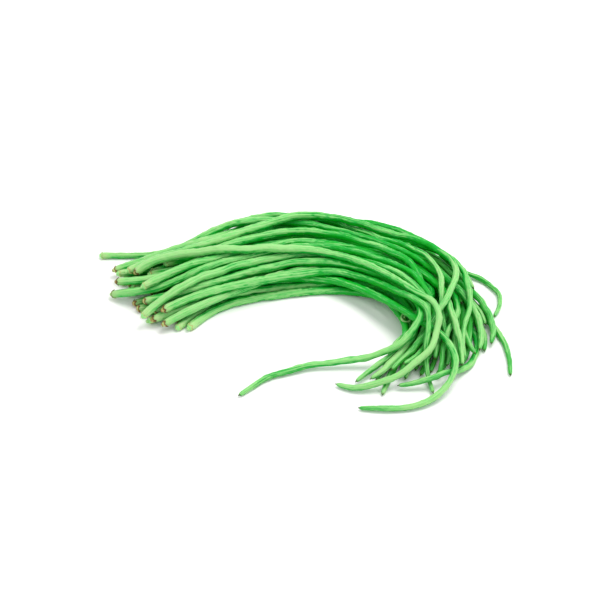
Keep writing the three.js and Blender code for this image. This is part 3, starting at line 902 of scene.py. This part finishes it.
def bean_skin(colours):
    """Fresh bean skin, grown: smooth, thin and faintly waxy over crisp, pale flesh.

    The wax gives a soft, broken highlight. The flesh under it takes in light and keeps shadows
    green. Light and shade are also painted into its colour: paler where the light reaches, deep
    green in the shade between pods.
    """
    material, add, straight, tone, lit, from_stalk, to_tip = new_material(
        "fresh_bean_skin", "straight", "tone", "lit", "from_stalk", "to_tip"
    )

    # Fibres under the skin: streaks 1.2 mm wide and 40 mm long, drawn coarser than the real
    # 0.3 mm, which is too fine to show.
    place = add("Mapping", Vector=straight, Scale=(0.85, 0.85, 0.024))
    streaks = add("TexNoise", Vector=place, Scale=1.0, Detail=4.0, Roughness=0.6)
    streak_share = add("MapRange", i0=streaks, i1=0.32, i2=0.68, i3=-0.39, i4=0.39)
    # Cloudy patches of more and less green, 5 mm wide and 10 mm long.
    place = add("Mapping", Vector=straight, Scale=(0.22, 0.22, 0.1))
    patches = add("TexNoise", Vector=place, Scale=1.0, Detail=3.0)
    patch_share = add("MapRange", i0=patches, i1=0.3, i2=0.7, i3=-0.13, i4=0.13)
    # Painted light and shade: skin that the light reaches is drawn paler, and skin in the shade
    # between pods deeper green.
    painted_light_and_shade = add("MapRange", i0=lit, i1=0.12, i2=0.66, i3=-0.56, i4=0.13)
    # Pale pores, 0.6 mm, drawn coarser than the real 0.2 mm, which is too fine to show.
    pores = add("TexVoronoi", Vector=straight, Scale=0.75)
    pore_marks = set_ramp(add("ValToRGB", i0=pores), [(0.0, 1.0), (0.16, 0.35), (0.26, 0.0)])
    added = tone
    for change in (streak_share, patch_share, painted_light_and_shade):
        added = add("Math", ADD, i0=added, i1=change)
    added = add("Math", MULTIPLY_ADD, i0=pore_marks, i1=0.10, i2=added)
    colour = set_ramp(
        add("ValToRGB", i0=added),
        [(0.0, colours.shaded), (0.33, colours.deep), (0.58, colours.middle), (1.0, colours.pale)],
    )

    # Rubbed specks under 1 mm across, scattered a few centimetres apart.
    place = add("Mapping", Vector=straight, Scale=(0.16, 0.16, 0.09))
    specks = add("TexVoronoi", Vector=place, Scale=1.0)
    rubbed = add("MapRange", i0=specks, i1=0.03, i2=0.07, i3=0.55, i4=0.0)
    # The stalk end turns yellowish and the tail duller. The last 3 mm of the beak wither.
    stalk_fade = add("MapRange", SMOOTH_STEP, i0=from_stalk, i1=3.0, i2=15.0, i3=0.45, i4=0.0)
    tip_fade = add("MapRange", SMOOTH_STEP, i0=to_tip, i1=1.0, i2=100.0, i3=0.16, i4=0.0)
    ragged = add("Math", MULTIPLY_ADD, i0=streaks, i1=2.0, i2=to_tip)
    withered = add("MapRange", i0=ragged, i1=2.0, i2=3.4, i3=1.0, i4=0.0)
    for share, over in (
        (rubbed, colours.straw),
        (stalk_fade, colours.straw),
        (tip_fade, colours.tail),
        (withered, colours.beak),
    ):
        colour = add("Mix", COLOUR_MIX, i0=share, i6=colour, i7=over).outputs[2]

    # Wrinkles 1.2 mm across and 4 mm long, with fibres that stand out a little.
    place = add("Mapping", Vector=straight, Scale=(0.8, 0.8, 0.25))
    wrinkles = add("TexNoise", Vector=place, Scale=1.0, Detail=5.0, Roughness=0.62)
    height = add("Math", MULTIPLY_ADD, i0=streaks, i1=0.8, i2=wrinkles)
    shader = add(
        "BsdfPrincipled",
        Base_Color=colour,
        Roughness=add("MapRange", i0=wrinkles, i1=0.3, i2=0.7, i3=0.30, i4=0.52),
        Normal=add("Bump", Strength=0.7, Distance=0.0006, Height=height),
        IOR=1.42,
        Subsurface_Weight=0.25,
        Subsurface_Radius=(0.2, 1.0, 0.3),
        Subsurface_Scale=0.003,
        Specular_IOR_Level=0.24,
        Coat_Weight=0.05,
        Coat_Roughness=0.3,
    )
    add("OutputMaterial", Surface=shader)
    return material


def dry_calyx(colours):
    """Withered calyx, grown and dried on the pod: thin, papery, matt and ragged.

    It reads as a small olive and brown star with dark edges on the pale shoulder.
    """
    material, add, straight, tone, dryness = new_material(
        "dry_calyx", "straight", "tone", "dryness"
    )
    # Fibres 0.6 mm wide and 2 mm long, drawn coarser than the real 0.1 mm.
    place = add("Mapping", Vector=straight, Scale=(1.6, 1.6, 0.5))
    fibres = add("TexNoise", Vector=place, Scale=1.0, Detail=4.0, Roughness=0.7)
    # It withers from the tips of its lobes, and more so on a dry pod.
    edge = add("Math", MULTIPLY_ADD, i0=fibres, i1=0.8, i2=tone)
    withered = add("Math", MULTIPLY_ADD, i0=dryness, i1=1.1, i2=edge)
    share = add("MapRange", i0=withered, i1=0.3, i2=2.3)
    colour = set_ramp(
        add("ValToRGB", i0=share),
        [(0.3, linear("8fdc84")), (0.5, linear("b6cc7e")), (0.75, linear("a98145"))],
    )
    dark_edge = add("MapRange", i0=withered, i1=1.4, i2=2.1, i3=0.0, i4=0.9)
    colour = add("Mix", COLOUR_MIX, i0=dark_edge, i6=colour, i7=colours.brown).outputs[2]
    bump = add("Bump", Strength=0.6, Distance=0.0003, Height=fibres)
    shader = add("BsdfPrincipled", Base_Color=colour, Roughness=0.82, Normal=bump, IOR=1.45)
    add("OutputMaterial", Surface=shader)
    return material


def snapped_stalk():
    """Stalk snapped off by hand: green outside, a dry tan and pinkish brown break.

    The break gives each stalk end a light middle with a darker rim.
    """
    material, add, straight, tone, dryness = new_material(
        "snapped_stalk", "straight", "tone", "dryness"
    )
    # Fibres 0.5 mm wide and 1.4 mm long, drawn coarser than the real 0.1 mm.
    place = add("Mapping", Vector=straight, Scale=(2.2, 2.2, 0.7))
    fibres = add("TexNoise", Vector=place, Scale=1.0, Detail=4.0, Roughness=0.7)
    # The break is brown on a dry pod and still green on a fresh one.
    fresher = add("MapRange", i0=dryness, i1=0.2, i2=0.6, i3=0.6, i4=0.0)
    up_stalk = add("Math", MULTIPLY_ADD, i0=fibres, i1=0.45, i2=tone)
    up_stalk = add("Math", ADD, i0=up_stalk, i1=fresher)
    colour = set_ramp(
        add("ValToRGB", i0=up_stalk),
        [
            (0.12, linear("d6b07c")),
            (0.28, linear("8a6436")),
            (0.45, linear("a8a85c")),
            (0.7, linear("a6dc8a")),
        ],
    )
    bump = add("Bump", Strength=0.6, Distance=0.0003, Height=fibres)
    shader = add("BsdfPrincipled", Base_Color=colour, Roughness=0.75, Normal=bump, IOR=1.45)
    add("OutputMaterial", Surface=shader)
    return material


def matt_floor_paint(colour):
    """Floor paint, rolled on: matt and even, with a faint roller grain."""
    material, add = new_material("matt_floor_paint")
    place = add("TexCoord").outputs["Object"]
    # Grain 2.5 mm across.
    grain = add("TexNoise", Vector=place, Scale=400.0, Detail=2.0)
    bump = add("Bump", Strength=0.04, Distance=0.0005, Height=grain)
    shader = add("BsdfPrincipled", Base_Color=colour, Roughness=0.9, Normal=bump)
    add("OutputMaterial", Surface=shader)
    return material


# ---- Operators ----


def add_object(name, data):
    """Puts new data in the scene as an object."""
    made = bpy.data.objects.new(name, data)
    bpy.context.scene.collection.objects.link(made)
    return made


class BEANS_OT_pods(bpy.types.Operator):
    """Makes every pod of the bunch"""

    bl_idname = "beans.pods"
    bl_label = "Pods"

    def execute(self, context):
        shape = in_millimetres(context.scene.bean_pods)
        colours = context.scene.bean_colours
        materials = [bean_skin(colours), dry_calyx(colours), snapped_stalk()]
        lines = [PodLine(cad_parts[name], index) for index, name in enumerate(POD_NODES)]
        all_beads = [line.beads(BEAD_SPACING) for line in lines]
        all_points = [line.touch_points(shape) for line in lines]
        for index, name in enumerate(POD_NODES):
            beads = np.vstack(all_beads[:index] + all_beads[index + 1 :])
            others = np.vstack(all_points[:index] + all_points[index + 1 :])
            mesh = make_pod(lines[index], beads, others, index, shape)
            for material in materials:
                mesh.materials.append(material)
            pod = add_object(f"bean_{name}", mesh)
            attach(pod, BODY)
            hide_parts(name)
        return {"FINISHED"}


class BEANS_OT_stage(bpy.types.Operator):
    """Makes the floor, the light and the camera"""

    bl_idname = "beans.stage"
    bl_label = "Stage"

    def execute(self, context):
        stage = context.scene.bean_stage
        self.add_floor(stage)
        self.add_light(stage)
        self.add_camera(context.scene, stage)
        return {"FINISHED"}

    def add_floor(self, stage):
        half = 20.0  # metres, so that its edge is far off in a low view
        mesh = bpy.data.meshes.new("floor")
        mesh.from_pydata(
            [(-half, -half, 0), (half, -half, 0), (half, half, 0), (-half, half, 0)],
            [],
            [(0, 1, 2, 3)],
        )
        mesh.materials.append(matt_floor_paint(stage.floor_colour))
        add_object("floor", mesh)

    def add_light(self, stage):
        key = bpy.data.lights.new("key_light", "AREA")
        key.shape = "DISK"
        key.size = KEY_SIZE
        key.energy = stage.key_power
        key.color = KEY_COLOUR
        lamp = add_object("key_light", key)
        lamp.location = KEY_PLACE
        lamp.rotation_euler = (-lamp.location).to_track_quat("-Z", "Y").to_euler()
        world = bpy.data.worlds.new("room_light")
        world.use_nodes = True
        background = world.node_tree.nodes["Background"]
        background.inputs["Color"].default_value = (1.0, 1.0, 1.0, 1.0)
        background.inputs["Strength"].default_value = stage.sky_strength
        bpy.context.scene.world = world

    def add_camera(self, scene, stage):
        camera = add_object("camera", bpy.data.cameras.new("camera"))
        camera.data.lens = stage.lens
        camera.data.sensor_width = SENSOR_WIDTH
        back = Vector((0.0, -math.cos(CAMERA_TILT), math.sin(CAMERA_TILT)))
        camera.location = Vector(CAMERA_TARGET) + CAMERA_DISTANCE * back
        camera.rotation_euler = (-back).to_track_quat("-Z", "Y").to_euler()
        scene.camera = camera
        scene.view_settings.view_transform = "Standard"


class BEANS_PT_panel(bpy.types.Panel):
    """Lists what can be built"""

    bl_idname = "BEANS_PT_panel"
    bl_label = "Yardlong Beans"
    bl_space_type = "VIEW_3D"
    bl_region_type = "UI"
    bl_category = "Beans"

    def draw(self, context):
        column = self.layout.column()
        column.operator(BEANS_OT_pods.bl_idname)
        column.operator(BEANS_OT_stage.bl_idname)
        scene = context.scene
        for settings in (scene.bean_pods, scene.bean_colours, scene.bean_stage):
            for key in setting_names(settings):
                column.prop(settings, key)


CLASSES = (
    BeanPodSettings,
    BeanColourSettings,
    BeanStageSettings,
    BEANS_OT_pods,
    BEANS_OT_stage,
    BEANS_PT_panel,
)


def register():
    for made in CLASSES:
        bpy.utils.register_class(made)
    bpy.types.Scene.bean_pods = bpy.props.PointerProperty(type=BeanPodSettings)
    bpy.types.Scene.bean_colours = bpy.props.PointerProperty(type=BeanColourSettings)
    bpy.types.Scene.bean_stage = bpy.props.PointerProperty(type=BeanStageSettings)


def unregister():
    del bpy.types.Scene.bean_stage
    del bpy.types.Scene.bean_colours
    del bpy.types.Scene.bean_pods
    for made in reversed(CLASSES):
        bpy.utils.unregister_class(made)


def main():
    register()
    bpy.ops.beans.pods()
    bpy.ops.beans.stage()


if __name__ == "__main__":
    main()
